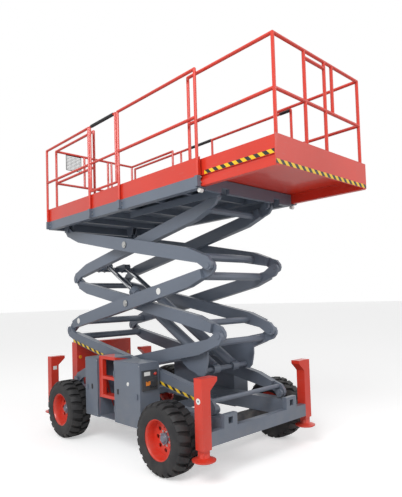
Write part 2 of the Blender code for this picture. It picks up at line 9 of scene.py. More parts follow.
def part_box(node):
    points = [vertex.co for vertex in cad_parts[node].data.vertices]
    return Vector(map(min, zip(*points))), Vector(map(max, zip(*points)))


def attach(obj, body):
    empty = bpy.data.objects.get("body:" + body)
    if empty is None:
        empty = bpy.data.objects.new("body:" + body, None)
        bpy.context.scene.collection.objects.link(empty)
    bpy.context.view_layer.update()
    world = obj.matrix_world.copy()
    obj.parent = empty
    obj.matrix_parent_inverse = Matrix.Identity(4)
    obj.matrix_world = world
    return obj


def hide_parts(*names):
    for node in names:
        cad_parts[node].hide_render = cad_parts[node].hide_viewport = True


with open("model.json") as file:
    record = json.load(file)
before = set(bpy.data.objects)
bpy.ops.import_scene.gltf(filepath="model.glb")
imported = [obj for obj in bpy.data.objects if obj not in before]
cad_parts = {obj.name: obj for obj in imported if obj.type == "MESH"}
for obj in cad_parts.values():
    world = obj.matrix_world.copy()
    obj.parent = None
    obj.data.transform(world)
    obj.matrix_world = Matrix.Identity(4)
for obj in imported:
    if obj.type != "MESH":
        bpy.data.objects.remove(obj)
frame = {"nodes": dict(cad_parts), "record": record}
for startupName in ("Cube", "Light", "Camera"):
    startupObject = bpy.data.objects.get(startupName)
    if startupObject:
        bpy.data.objects.remove(startupObject, do_unlink=True)
nodes = frame["nodes"]
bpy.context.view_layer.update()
print("frame loaded:", len(nodes), "nodes")


# camera: a three-quarter view from the front right corner
view = {
    "place": (4.909, -4.272, 1.913), "yaw": 0.814, "pitch": 0.045, "roll": -0.030,
    "lens": 34.06, "shiftUp": 0.0604,
}


def makeCamera():
    forward = Vector((-math.sin(view["yaw"]) * math.cos(view["pitch"]),
                      math.cos(view["yaw"]) * math.cos(view["pitch"]), math.sin(view["pitch"])))
    right = forward.cross(Vector((0, 0, 1))).normalized()
    up = right.cross(forward)
    turnedRight = right * math.cos(view["roll"]) + up * math.sin(view["roll"])
    turnedUp = up * math.cos(view["roll"]) - right * math.sin(view["roll"])
    camera = bpy.data.objects.new("camera", bpy.data.cameras.new("camera"))
    camera.data.lens, camera.data.sensor_width = view["lens"], 36
    camera.data.shift_y = view["shiftUp"]
    camera.data.clip_end = 200
    turn = Matrix((turnedRight, turnedUp, -forward)).transposed()
    camera.matrix_world = Matrix.Translation(view["place"]) @ turn.to_4x4()
    bpy.context.scene.collection.objects.link(camera)
    bpy.context.scene.camera = camera


makeCamera()
print("camera placed")


# shared effects, as node groups
def newGroup(name, inputs, outputs):
    group = bpy.data.node_groups.new(name, "ShaderNodeTree")
    for label, kind, value in inputs:
        socket = group.interface.new_socket(label, in_out="INPUT", socket_type=kind)
        socket.default_value = value
    for label, kind in outputs:
        group.interface.new_socket(label, in_out="OUTPUT", socket_type=kind)
    return group, group.nodes.new("NodeGroupInput"), group.nodes.new("NodeGroupOutput")


def mathNode(tree, operation, a, b=None, clamp=False):
    made = tree.nodes.new("ShaderNodeMath")
    made.operation, made.use_clamp = operation, clamp
    for socket, value in zip(made.inputs, (a, b)):
        if value is None:
            continue
        if isinstance(value, (int, float)):
            socket.default_value = value
        else:
            tree.links.new(value, socket)
    return made.outputs[0]


def mixColour(tree, amount, a, b, blend="MIX"):
    made = tree.nodes.new("ShaderNodeMix")
    made.data_type, made.blend_type = "RGBA", blend
    for socket, value in ((made.inputs[0], amount), (made.inputs[6], a), (made.inputs[7], b)):
        if isinstance(value, (int, float, tuple)):
            socket.default_value = value
        else:
            tree.links.new(value, socket)
    return made.outputs[2]


def noise(tree, scale, detail=3.0, stretch=(1, 1, 1)):
    place = tree.nodes.new("ShaderNodeTexCoord")
    mapping = tree.nodes.new("ShaderNodeMapping")
    mapping.inputs["Scale"].default_value = stretch
    tree.links.new(place.outputs["Object"], mapping.inputs["Vector"])
    made = tree.nodes.new("ShaderNodeTexNoise")
    made.inputs["Detail"].default_value = detail
    made.inputs["Scale"].default_value = scale
    tree.links.new(mapping.outputs[0], made.inputs["Vector"])
    return made.outputs["Fac"]


def rangeNode(tree, value, low, high, toLow=0.0, toHigh=1.0):
    made = tree.nodes.new("ShaderNodeMapRange")
    tree.links.new(value, made.inputs[0])
    for socket, number in zip(made.inputs[1:5], (low, high, toLow, toHigh)):
        socket.default_value = number
    return made.outputs[0]


wear = {
    "fadeScale": 1.4, "scuffScale": 9.0, "scuffStretch": (1, 1, 6), "scuffColour": (0.30, 0.29, 0.27, 1),
    "scuffDulling": 0.35, "grainScale": 140.0, "grainDepth": 0.0006,
}


def makeFinishGroup():
    group, given, result = newGroup(
        "sprayedFinish",
        (("Paint", "NodeSocketColor", (0.5, 0.5, 0.5, 1)), ("Fade", "NodeSocketFloat", 0.12),
         ("Scuff", "NodeSocketFloat", 0.25), ("Gloss", "NodeSocketFloat", 0.35)),
        (("Color", "NodeSocketColor"), ("Roughness", "NodeSocketFloat"), ("Height", "NodeSocketFloat")))
    broad = rangeNode(group, noise(group, wear["fadeScale"], 4), 0.3, 0.7, -0.5, 0.5)
    shade = mathNode(group, "ADD", mathNode(group, "MULTIPLY", broad, given.outputs["Fade"]), 1.0)
    grey = group.nodes.new("ShaderNodeCombineColor")
    for socket in grey.inputs[:3]:
        group.links.new(shade, socket)
    toned = mixColour(group, 1.0, given.outputs["Paint"], grey.outputs[0], "MULTIPLY")
    rubbed = rangeNode(group, noise(group, wear["scuffScale"], 8, wear["scuffStretch"]), 0.60, 0.74)
    scuffs = mathNode(group, "MULTIPLY", rubbed, given.outputs["Scuff"], True)
    worn = mixColour(group, scuffs, toned, wear["scuffColour"])
    group.links.new(worn, result.inputs["Color"])
    varied = mathNode(group, "ADD", given.outputs["Gloss"], mathNode(group, "MULTIPLY", broad, 0.10))
    dulled = mathNode(group, "MULTIPLY", scuffs, wear["scuffDulling"])
    group.links.new(mathNode(group, "ADD", varied, dulled, True), result.inputs["Roughness"])
    grain, rubbedDown = noise(group, wear["grainScale"], 2), mathNode(group, "MULTIPLY", scuffs, -0.8)
    group.links.new(mathNode(group, "ADD", grain, rubbedDown), result.inputs["Height"])
    return group


dust = {"scale": 7.0, "reach": 1.1, "dulling": 0.4, "colour": (0.36, 0.33, 0.29, 1)}


def makeDustGroup():
    group, given, result = newGroup(
        "groundDust",
        (("Color", "NodeSocketColor", (0.5, 0.5, 0.5, 1)), ("Reach", "NodeSocketFloat", 0.9),
         ("Strength", "NodeSocketFloat", 0.35)),
        (("Color", "NodeSocketColor"), ("Mask", "NodeSocketFloat")))
    place = group.nodes.new("ShaderNodeTexCoord")
    split = group.nodes.new("ShaderNodeSeparateXYZ")
    group.links.new(place.outputs["Object"], split.inputs[0])
    height = mathNode(group, "DIVIDE", split.outputs["Z"], given.outputs["Reach"])
    low = mathNode(group, "SUBTRACT", 1.0, height, True)
    patchy = rangeNode(group, noise(group, dust["scale"], 6), 0.35, 0.70)
    lowPatches = mathNode(group, "MULTIPLY", low, patchy)
    mask = mathNode(group, "MULTIPLY", lowPatches, given.outputs["Strength"], True)
    dusted = mixColour(group, mask, given.outputs["Color"], dust["colour"])
    group.links.new(dusted, result.inputs["Color"])
    group.links.new(mask, result.inputs["Mask"])
    return group


finishGroup, dustGroup = makeFinishGroup(), makeDustGroup()


def useGroup(tree, group, values):
    made = tree.nodes.new("ShaderNodeGroup")
    made.node_tree = group
    for label, value in values.items():
        if isinstance(value, (int, float, tuple)):
            made.inputs[label].default_value = value
        else:
            tree.links.new(value, made.inputs[label])
    return made


finishes = {
    "redPaint": {
        "paint": (0.66, 0.036, 0.016),
        "fade": 0.14, "scuff": 0.10, "gloss": 0.34, "dust": 0.16, "coat": 0.25,
    },
    "greyPaint": {
        "paint": (0.135, 0.160, 0.205),
        "fade": 0.16, "scuff": 0.14, "gloss": 0.40, "dust": 0.22, "coat": 0.15,
    },
    "darkPaint": {
        "paint": (0.040, 0.043, 0.050),
        "fade": 0.20, "scuff": 0.20, "gloss": 0.52, "dust": 0.40,
    },
    "blackPlastic": {
        "paint": (0.016, 0.016, 0.018),
        "fade": 0.15, "scuff": 0.12, "gloss": 0.55, "dust": 0.10,
    },
    "whiteLabel": {
        "paint": (0.80, 0.80, 0.78),
        "fade": 0.05, "scuff": 0.06, "gloss": 0.38, "dust": 0.08,
    },
    "orangeLabel": {
        "paint": (0.85, 0.26, 0.03),
        "fade": 0.06, "scuff": 0.08, "gloss": 0.38, "dust": 0.08,
    },
    "tyreRubber": {
        "paint": (0.013, 0.013, 0.015),
        "fade": 0.30, "scuff": 0.05, "gloss": 0.62, "dust": 0.10,
    },
    "zincSteel": {
        "paint": (0.50, 0.50, 0.49),
        "fade": 0.18, "scuff": 0.20, "gloss": 0.36, "dust": 0.12, "metal": 0.9,
    },
    "chromeRod": {
        "paint": (0.66, 0.67, 0.69),
        "fade": 0.05, "scuff": 0.03, "gloss": 0.14, "dust": 0.0, "metal": 1.0,
    },
    "amberLens": {
        "paint": (0.90, 0.30, 0.02),
        "fade": 0.05, "scuff": 0.03, "gloss": 0.15, "dust": 0.05, "coat": 0.4,
    },
}
bumps = {"tyreRubber": 0.5, "blackPlastic": 0.35, "greyPaint": 0.06, "redPaint": 0.05}


def makeFinish(name, facts):
    material = bpy.data.materials.new(name)
    material.use_nodes = True
    tree = material.node_tree
    shader = tree.nodes["Principled BSDF"]
    surface = useGroup(tree, finishGroup, {"Paint": (*facts["paint"], 1), "Fade": facts["fade"],
                                           "Scuff": facts["scuff"], "Gloss": facts["gloss"]})
    dusty = useGroup(tree, dustGroup, {"Color": surface.outputs["Color"], "Reach": dust["reach"],
                                       "Strength": facts["dust"]})
    tree.links.new(dusty.outputs["Color"], shader.inputs["Base Color"])
    dulled = mathNode(tree, "MULTIPLY", dusty.outputs["Mask"], dust["dulling"])
    rough = mathNode(tree, "ADD", surface.outputs["Roughness"], dulled, True)
    tree.links.new(rough, shader.inputs["Roughness"])
    shader.inputs["Metallic"].default_value = facts.get("metal", 0.0)
    shader.inputs["Coat Weight"].default_value = facts.get("coat", 0.0)
    bump = tree.nodes.new("ShaderNodeBump")
    bump.inputs["Strength"].default_value = bumps.get(name, 0.08)
    bump.inputs["Distance"].default_value = wear["grainDepth"]
    tree.links.new(surface.outputs["Height"], bump.inputs["Height"])
    tree.links.new(bump.outputs[0], shader.inputs["Normal"])
    return material


materials = {name: makeFinish(name, facts) for name, facts in finishes.items()}
stripes = {"perMetre": 9.0, "yellow": (0.86, 0.56, 0.02), "black": (0.018, 0.018, 0.018)}


def makeHazardStripe():
    facts = {"paint": stripes["yellow"], "fade": 0.06, "scuff": 0.12, "gloss": 0.4, "dust": 0.1}
    material = makeFinish("hazardStripe", facts)
    tree = material.node_tree
    place = tree.nodes.new("ShaderNodeTexCoord")
    split = tree.nodes.new("ShaderNodeSeparateXYZ")
    tree.links.new(place.outputs["Object"], split.inputs[0])
    total = mathNode(tree, "ADD", mathNode(tree, "ADD", split.outputs[0], split.outputs[1]), split.outputs[2])
    repeats = mathNode(tree, "FRACT", mathNode(tree, "MULTIPLY", total, stripes["perMetre"]))
    band = mathNode(tree, "GREATER_THAN", repeats, 0.5)
    shader = tree.nodes["Principled BSDF"]
    plain = shader.inputs["Base Color"].links[0].from_socket
    tree.links.new(mixColour(tree, band, plain, (*stripes["black"], 1)), shader.inputs["Base Color"])
    return material


treadPlate = {"perMetre": 34.0, "sharpness": 9.0, "raise": 0.0016, "scuff": 0.45, "gloss": 0.5}


def makeTreadPlate(name, base):
    trodden = {"scuff": treadPlate["scuff"], "gloss": treadPlate["gloss"]}
    material = makeFinish(name, {**finishes[base], **trodden})
    tree = material.node_tree
    place = tree.nodes.new("ShaderNodeTexCoord")
    split = tree.nodes.new("ShaderNodeSeparateXYZ")
    tree.links.new(place.outputs["Object"], split.inputs[0])
    ridges = []
    for sign in (1, -1):
        lean = mathNode(tree, "ADD", split.outputs[0], mathNode(tree, "MULTIPLY", split.outputs[1], sign))
        wave = mathNode(tree, "SINE", mathNode(tree, "MULTIPLY", lean, treadPlate["perMetre"] * math.pi))
        ridges.append(mathNode(tree, "POWER", mathNode(tree, "ABSOLUTE", wave), treadPlate["sharpness"]))
    bars = mathNode(tree, "MAXIMUM", ridges[0], ridges[1])
    bump = tree.nodes.new("ShaderNodeBump")
    bump.inputs["Strength"].default_value, bump.inputs["Distance"].default_value = 0.8, treadPlate["raise"]
    tree.links.new(bars, bump.inputs["Height"])
    shader = tree.nodes["Principled BSDF"]
    tree.links.new(shader.inputs["Normal"].links[0].from_socket, bump.inputs["Normal"])
    tree.links.new(bump.outputs[0], shader.inputs["Normal"])
    return material


materials["hazardStripe"] = makeHazardStripe()
materials["deckTread"] = makeTreadPlate("deckTread", "greyPaint")
print("materials made:", len(materials))


# finishes for the nodes that keep their own shape
slotFinish = {"red_paint": "redPaint", "grey_paint": "greyPaint", "dark_paint": "darkPaint",
              "chrome_rod": "chromeRod", "tyre": "tyreRubber"}
for part in frame["record"]["subparts"]:
    nodeObject = nodes[part["node"]]
    nodeObject.data.materials.clear()
    nodeObject.data.materials.append(materials[slotFinish[part["material_slot"]]])


ladderRecess = {"backY": -0.795, "footZ": 0.655, "sideX": -0.668, "sideZ": 0.69}


def paintLadderRecess():
    ladder = nodes["step_ladder"]
    ladder.data.materials.append(materials["greyPaint"])
    for face in ladder.data.polygons:
        middle = face.center
        behind = middle.y > ladderRecess["backY"] or middle.z < ladderRecess["footZ"]
        beside = middle.x < ladderRecess["sideX"] and middle.z < ladderRecess["sideZ"]
        if behind or beside:
            face.material_index = 1


paintLadderRecess()
print("nodes painted")


def finishPiece(bm, name, finish, body, smoothAngle=None):
    bmesh.ops.remove_doubles(bm, verts=bm.verts, dist=1e-6)
    bmesh.ops.recalc_face_normals(bm, faces=bm.faces)
    mesh = bpy.data.meshes.new(name)
    bm.to_mesh(mesh)
    bm.free()
    piece = bpy.data.objects.new(name, mesh)
    bpy.context.scene.collection.objects.link(piece)
    mesh.materials.append(materials[finish])
    if smoothAngle:
        mesh.shade_smooth()
        mesh.set_sharp_from_angle(angle=math.radians(smoothAngle))
    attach(piece, body)
    return piece


# an outline swept along a vector
def addPrism(bm, outline, sweep):
    low = [bm.verts.new(c) for c in outline]
    high = [bm.verts.new(Vector(c) + Vector(sweep)) for c in outline]
    bm.faces.new(low)
    bm.faces.new(high[::-1])
    for i in range(len(low)):
        j = (i + 1) % len(low)
        bm.faces.new((low[j], low[i], high[i], high[j]))


def addBox(bm, low, high):
    x0, y0, z0 = low
    x1, y1, z1 = high
    addPrism(bm, [(x0, y0, z0), (x1, y0, z0), (x1, y1, z0), (x0, y1, z0)], (0, 0, z1 - z0))


def addRod(bm, start, end, radius, sides=16, tip=None):
    start, end = Vector(start), Vector(end)
    along = (end - start).normalized()
    across = along.cross(Vector((0, 0, 1)) if abs(along.z) < 0.9 else Vector((1, 0, 0))).normalized()
    other = along.cross(across)
    turns = [2 * math.pi * k / sides for k in range(sides)]
    ring = [across * math.cos(turn) + other * math.sin(turn) for turn in turns]
    rims = [[bm.verts.new(point + direction * size) for direction in ring]
            for point, size in ((start, radius), (end, radius if tip is None else tip))]
    bm.faces.new(rims[0][::-1])
    bm.faces.new(rims[1])
    for k in range(sides):
        m = (k + 1) % sides
        bm.faces.new((rims[0][k], rims[0][m], rims[1][m], rims[1][k]))


def addBolt(bm, place, normal, size=0.012):
    place, normal = Vector(place), Vector(normal)
    addRod(bm, place, place + normal * size * 0.18, size * 1.15, 16)
    addRod(bm, place + normal * size * 0.18, place + normal * size * 0.85, size, 6)


# a closed outline of (radius, y) corners turned about a line along Y
def addTurned(bm, profile, centre, sides=48):
    turns = [2 * math.pi * k / sides for k in range(sides)]
    rings = []
    for radius, y in profile:
        corners = [(centre.x + radius * math.cos(turn), y, centre.z + radius * math.sin(turn)) for turn in turns]
        rings.append([bm.verts.new(corner) for corner in corners])
    for a, b in zip(rings, rings[1:] + rings[:1]):
        for k in range(sides):
            m = (k + 1) % sides
            bm.faces.new((a[k], a[m], b[m], b[k]))


# wheels
tyre = {
    "treadHeight": 0.030, "lugs": 22, "lugShare": 0.56, "sweepBack": 0.10, "flare": 0.35, "taper": 0.012,
    "sidewall": ((0.290, 0.0), (0.335, 0.01), (0.366, 0.06)),  # radius, share of the width
    "shoulder": (0.372, 0.340),  # top and base radius where a lug ends
}
rim = {
    "handHoles": 8, "holeRadius": 0.024, "holeRing": 0.130, "dish": 0.115, "thick": 0.010, "well": 0.034,
    "nuts": 8, "nutRing": 0.078, "nutSize": 0.012, "hubRadius": 0.062, "hubCap": (0.050, 0.036),
}


def addLug(bm, centre, start, span, rows):
    made = []
    for y, lean, top, base in rows:
        wide = span * (1.0 + tyre["flare"] * lean)
        corners = []
        for radius, turn in ((base, 0), (base, wide), (top, wide - tyre["taper"]), (top, tyre["taper"])):
            angle = start + tyre["sweepBack"] * lean + turn - wide / 2
            corners.append(bm.verts.new((centre.x + radius * math.cos(angle), y,
                                         centre.z + radius * math.sin(angle))))
        made.append(corners)
    bm.faces.new(made[0])
    bm.faces.new(made[-1][::-1])
    for a, b in zip(made, made[1:]):
        for i in range(4):
            j = (i + 1) % 4
            bm.faces.new((a[i], a[j], b[j], b[i]))


def makeTyre(tag, sign):
    low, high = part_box(f"tyre_{tag}")
    rimLow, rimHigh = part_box(f"rim_{tag}")
    centre, outer = (low + high) / 2, (high.z - low.z) / 2
    near, far = (low.y, high.y) if sign > 0 else (high.y, low.y)
    bead = (rimHigh.z - rimLow.z) / 2 + 0.0005
    crown = outer - tyre["treadHeight"]
    width = far - near
    half = [(bead, 0.03), (bead + 0.02, 0.02), *tyre["sidewall"], (crown - 0.003, 0.16), (crown, 0.32)]
    shape = half + [(radius, 1 - share) for radius, share in reversed(half)]
    bm = bmesh.new()
    addTurned(bm, [(radius, near + width * share) for radius, share in shape], centre, 72)
    # two rings of lugs, half a step apart, from the middle of the tread out to each shoulder
    lugRows = ((0.52, outer, crown - 0.004), (0.70, outer, crown - 0.004),
               (0.87, outer - 0.006, crown - 0.010), (0.975, *tyre["shoulder"]))
    span = 2 * math.pi / tyre["lugs"] * tyre["lugShare"]
    for side in (0, 1):
        rows = [(near + width * (share if side else 1 - share), (share - 0.5) * 2, top, base)
                for share, top, base in lugRows]
        for k in range(tyre["lugs"]):
            addLug(bm, centre, 2 * math.pi * (k + 0.5 * side) / tyre["lugs"], span, rows)
    piece = finishPiece(bm, f"treaded_tyre_{tag}", "tyreRubber", f"wheel_{tag}", 35)
    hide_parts(f"tyre_{tag}")


# a flat ring with the hand holes, filled by a 2-D curve
def addDish(bm, centre, y, outer, inner):
    data = bpy.data.curves.new("disc", "CURVE")
    data.dimensions, data.fill_mode, data.extrude = "2D", "BOTH", rim["thick"] / 2
    rings = [((0, 0), outer, 56), ((0, 0), inner, 40)]
    for k in range(rim["handHoles"]):
        turn = 2 * math.pi * k / rim["handHoles"]
        middle = (rim["holeRing"] * math.cos(turn), rim["holeRing"] * math.sin(turn))
        rings.append((middle, rim["holeRadius"], 20))
    for (cx, cz), radius, count in rings:
        spline = data.splines.new("POLY")
        spline.points.add(count - 1)
        spline.use_cyclic_u = True
        for k, point in enumerate(spline.points):
            angle = 2 * math.pi * k / count
            point.co = (cx + radius * math.cos(angle), cz + radius * math.sin(angle), 0, 1)
    holder = bpy.data.objects.new("disc", data)
    bpy.context.scene.collection.objects.link(holder)
    mesh = bpy.data.meshes.new_from_object(holder.evaluated_get(bpy.context.evaluated_depsgraph_get()))
    mesh.transform(Matrix.Translation((centre.x, y, centre.z)) @ Matrix.Rotation(math.pi / 2, 4, "X"))
    bm.from_mesh(mesh)
    bpy.data.objects.remove(holder)
    bpy.data.meshes.remove(mesh)


def makeRim(tag, sign):
    low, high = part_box(f"rim_{tag}")
    centre, outer = (low + high) / 2, (high.z - low.z) / 2
    face, back = (high.y, low.y) if sign > 0 else (low.y, high.y)
    dish, well = face - sign * rim["dish"], outer - rim["well"]
    bm = bmesh.new()
    addTurned(bm, [(outer, face), (outer - 0.010, face), (outer - 0.024, face - sign * 0.020), (well, dish),
                   (well, back), (outer - 0.001, back)], centre, 56)
    addDish(bm, centre, dish, outer - 0.030, 0.060)
    piece = finishPiece(bm, f"dished_rim_{tag}", "redPaint", f"wheel_{tag}", 35)
    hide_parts(f"rim_{tag}")
    hubBack, hubFace, hubTip = [(centre.x, dish + sign * out, centre.z) for out in (-0.02, 0.030, 0.050)]
    bm = bmesh.new()
    addRod(bm, hubBack, hubFace, rim["hubRadius"], 32)
    addRod(bm, hubFace, hubTip, rim["hubCap"][0], 32, rim["hubCap"][1])
    finishPiece(bm, f"hub_{tag}", "greyPaint", f"wheel_{tag}", 35)
    bm = bmesh.new()
    for k in range(rim["nuts"]):
        angle = 2 * math.pi * (k + 0.5) / rim["nuts"]
        addBolt(bm, (centre.x + rim["nutRing"] * math.cos(angle), dish + sign * 0.005,
                     centre.z + rim["nutRing"] * math.sin(angle)), (0, sign, 0), rim["nutSize"])
    finishPiece(bm, f"wheel_nuts_{tag}", "zincSteel", f"wheel_{tag}", 35)


for tag, sign in (("front_right", -1), ("front_left", 1), ("rear_right", -1), ("rear_left", 1)):
    makeTyre(tag, sign)
    makeRim(tag, sign)
print("wheels made")


# scissor stack: pivot caps, hazard stripes, round blank plates
stack = {
    "rear": -2.039, "front": 1.171, "baseZ": 0.700, "level": 0.7967, "halfDepth": 0.078, "offset": 0.085,
    "armFace": 0.6402, "pinEnd": 0.6482, "capRadius": 0.044, "pinRadius": 0.026, "capThick": 0.006,
    "stripeHeight": 0.036, "stripeLift": 0.006, "stripeShares": ((0.64, 0.95), (0.08, 0.36)),
    "plateRadius": 0.042, "plateShares": (0.10, 0.72),
}


# lower and upper end of an arm's line through its pivots
def armLine(level, kind):
    low = stack["baseZ"] + (level - 1) * stack["level"]
    rising = (kind == "B") == (level % 2 == 1)
    near, far = (stack["rear"], stack["front"]) if rising else (stack["front"], stack["rear"])
    return Vector((near, 0, low)), Vector((far, 0, low + stack["level"]))


def armPoint(level, kind, share, rise, y):
    lower, upper = armLine(level, kind)
    along = (upper - lower).normalized()
    normal = Vector((-along.z, 0, along.x))
    if normal.z < 0:
        normal = -normal
    point = lower + (upper - lower) * share + normal * rise
    return Vector((point.x, y, point.z))


def makePivotCaps():
    for level in (1, 2, 3):
        bm = bmesh.new()
        middle = armPoint(level, "B", 0.5, 0, 0)
        for sign in (-1, 1):
            start = Vector((middle.x, sign * stack["pinEnd"], middle.z))
            step = Vector((0, sign * stack["capThick"], 0))
            addRod(bm, start, start + step, stack["capRadius"], 28)
            addRod(bm, start + step, start + step * 2, stack["pinRadius"], 24)
            addBolt(bm, start + step + Vector((0.032, 0, 0)), (0, sign, 0), 0.007)
        finishPiece(bm, f"pivot_cap_{level}", "zincSteel", f"arms_B{level}", 35)


def makeArmStripes():
    bm = bmesh.new()
    for sign in (-1, 1):
        for first, last in stack["stripeShares"]:
            outline = []
            for share, side in ((first, 0), (last, 0), (last, 1), (first, 1)):
                under = -stack["halfDepth"] + stack["offset"] * (1 - 2 * share)
                rise = under + stack["stripeLift"] + side * stack["stripeHeight"]
                outline.append(armPoint(1, "A", share, rise, sign * stack["armFace"]))
            addPrism(bm, outline, (0, sign * 0.0012, 0))
    finishPiece(bm, "arm_stripes", "hazardStripe", "arms_A1")


def makeArmPlates():
    bm = bmesh.new()
    for share in stack["plateShares"]:
        rise = stack["offset"] * (1 - 2 * share)
        for sign in (-1, 1):
            place = armPoint(2, "A", share, rise, sign * stack["armFace"])
            addRod(bm, place, place + Vector((0, sign * 0.0015, 0)), stack["plateRadius"], 32)
    finishPiece(bm, "round_blank_plates", "whiteLabel", "arms_A2")


makePivotCaps()
makeArmStripes()
makeArmPlates()
print("stack dressed")


# platform: tread sheets, grips, mesh panel, stripes, post sockets
platform = {
    "deckTop": 3.2402, "extensionTop": 3.2542, "sheet": 0.0008, "railRadius": 0.019, "gateRadius": 0.017,
    "gripRadius": 0.023, "gripStep": 0.012,
    "stripeHeight": 0.042, "sideStripeZ": 3.250, "sideStripeY": 0.8152,
    "meshY": (-0.570, -0.300), "meshZ": (4.130, 4.378), "meshFrame": 0.006, "meshWire": 0.0028,
    "meshStep": 0.024, "posts": (-2.250, -0.931, -0.191, 1.299), "boltZ": (3.150, 3.205),
    "socketZ": (3.122, 3.236), "socketHalf": 0.026, "frameFace": 0.8502, "rollerZ": 3.086,
}


def makeTreadSheets():
    # insets from the node's rear and front ends, and half the width
    sheets = (
        ("deck_tread", "deck_frame", "platform", (0.142, -0.595, 0.698), platform["deckTop"]),
        ("extension_tread", "extension_deck", "extension", (0.042, -0.074, 0.738), platform["extensionTop"]),
    )
    for name, node, body, (rear, front, side), top in sheets:
        low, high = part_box(node)
        bm = bmesh.new()
        addBox(bm, (low.x + rear, -side, top), (high.x + front, side, top + platform["sheet"]))
        finishPiece(bm, name, "deckTread", body)


def makeGrips():
    gateLow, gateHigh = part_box("gate")
    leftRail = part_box("rail_left")[0].y + platform["railRadius"]
    topZ = gateHigh.z - platform["gateRadius"]
    radius = platform["gripRadius"]
    grips = (
        ("gate_grip", "gate", -0.870, gateLow.x + 0.060, gateHigh.x - 0.060),
        ("left_grip_rear", "platform", leftRail, -0.701, -0.201),
        ("left_grip_front", "platform", leftRail, 1.129, 1.300),
    )
    for name, body, y, x0, x1 in grips:
        bm = bmesh.new()
        count = int((x1 - x0) / platform["gripStep"])
        step = (x1 - x0) / count
        for k in range(count):
            x = x0 + (x1 - x0) * k / count
            addRod(bm, (x, y, topZ), (x + step * 0.96, y, topZ), radius, 16, radius - 0.0015)
        finishPiece(bm, name, "blackPlastic", body, 35)


def makeMeshPanel():
    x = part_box("rail_rear")[0].x + platform["railRadius"]
    (y0, y1), (z0, z1), step = platform["meshY"], platform["meshZ"], platform["meshStep"]
    bm = bmesh.new()
    for a, b in (((y0, z0), (y1, z0)), ((y0, z1), (y1, z1)), ((y0, z0), (y0, z1)), ((y1, z0), (y1, z1))):
        addRod(bm, (x, *a), (x, *b), platform["meshFrame"], 8)
    for k in range(1, int((y1 - y0) / step)):
        y = y0 + k * step
        addRod(bm, (x, y, z0), (x, y, z1), platform["meshWire"], 6)
    for k in range(1, int((z1 - z0) / step) + 1):
        z = z0 + k * step
        addRod(bm, (x + 0.004, y0, z), (x + 0.004, y1, z), platform["meshWire"], 6)
    finishPiece(bm, "mesh_panel", "blackPlastic", "platform", 35)


def makeDeckStripes():
    low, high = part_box("extension_deck")
    tall = platform["stripeHeight"]
    x0, x1, z0 = low.x + 0.58, high.x - 0.010, platform["sideStripeZ"]
    bm = bmesh.new()
    for sign in (-1, 1):
        y = sign * platform["sideStripeY"]
        addPrism(bm, [(x0, y, z0), (x1, y, z0), (x1, y, z0 + tall), (x0, y, z0 + tall)], (0, sign * 0.001, 0))
    x, y0, y1, z0 = high.x + 0.0002, low.y + 0.01, high.y - 0.01, low.z + 0.016
    addPrism(bm, [(x, y0, z0), (x, y1, z0), (x, y1, z0 + tall), (x, y0, z0 + tall)], (0.001, 0, 0))
    finishPiece(bm, "deck_stripes", "hazardStripe", "extension")


def sideSpan(sign, a, b):
    return sorted((sign * a, sign * b))


def makePostSockets():
    low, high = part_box("deck_frame")
    face, wide = platform["frameFace"], platform["socketHalf"]
    bm = bmesh.new()
    for sign in (-1, 1):
        y0, y1 = sideSpan(sign, face, face + 0.001)
        for x in platform["posts"]:
            for z in platform["boltZ"]:
                addBox(bm, (x - 0.034, y0, z), (x - 0.022, y1, z + 0.030))
                addBolt(bm, (x + 0.032, sign * face, z + 0.012), (0, sign, 0), 0.008)
    finishPiece(bm, "post_bolts", "zincSteel", "platform", 35)
    z0, z1 = platform["socketZ"]
    bm = bmesh.new()
    for sign in (-1, 1):
        cheek, cover = sideSpan(sign, face, 0.892), sideSpan(sign, 0.8895, 0.8935)
        for x in platform["posts"]:
            for x0, x1 in ((x - wide, x - 0.0195), (x + 0.0195, x + wide)):
                addBox(bm, (max(x0, low.x), cheek[0], z0), (min(x1, high.x), cheek[1], z1))
            addBox(bm, (max(x - wide, low.x), cover[0], z0), (min(x + wide, high.x), cover[1], z1))
    finishPiece(bm, "post_sockets", "greyPaint", "platform")
    x, z = high.x - 0.030, platform["rollerZ"]
    bm = bmesh.new()
    for sign in (-1, 1):
        addRod(bm, (x, sign * 0.800, z), (x, sign * 0.846, z), 0.024, 28)
    finishPiece(bm, "deck_corner_rollers", "whiteLabel", "platform", 35)


makeTreadSheets()
makeGrips()
makeMeshPanel()
makeDeckStripes()
makePostSockets()
print("platform dressed")


# chassis: ground controls, door furniture, outrigger labels, amber lamps
chassis = {
    "buttonRadius": 0.019, "switches": 3, "switchRadius": 0.009, "leverRadius": 0.004,
    "latchHeight": 0.785, "latchSize": (0.028, 0.064),
    "latchInsets": {"right_front": 0.093, "right_rear": 0.178},  # from each door's rear edge
    "capInset": 0.316, "capHeight": 0.903, "capRadius": 0.024, "discRadius": 0.032, "discHeight": 0.867,
    "labelY": 0.905, "labelZ": (0.900, 0.955), "lampHeight": 1.030, "lampRadius": 0.030,
}


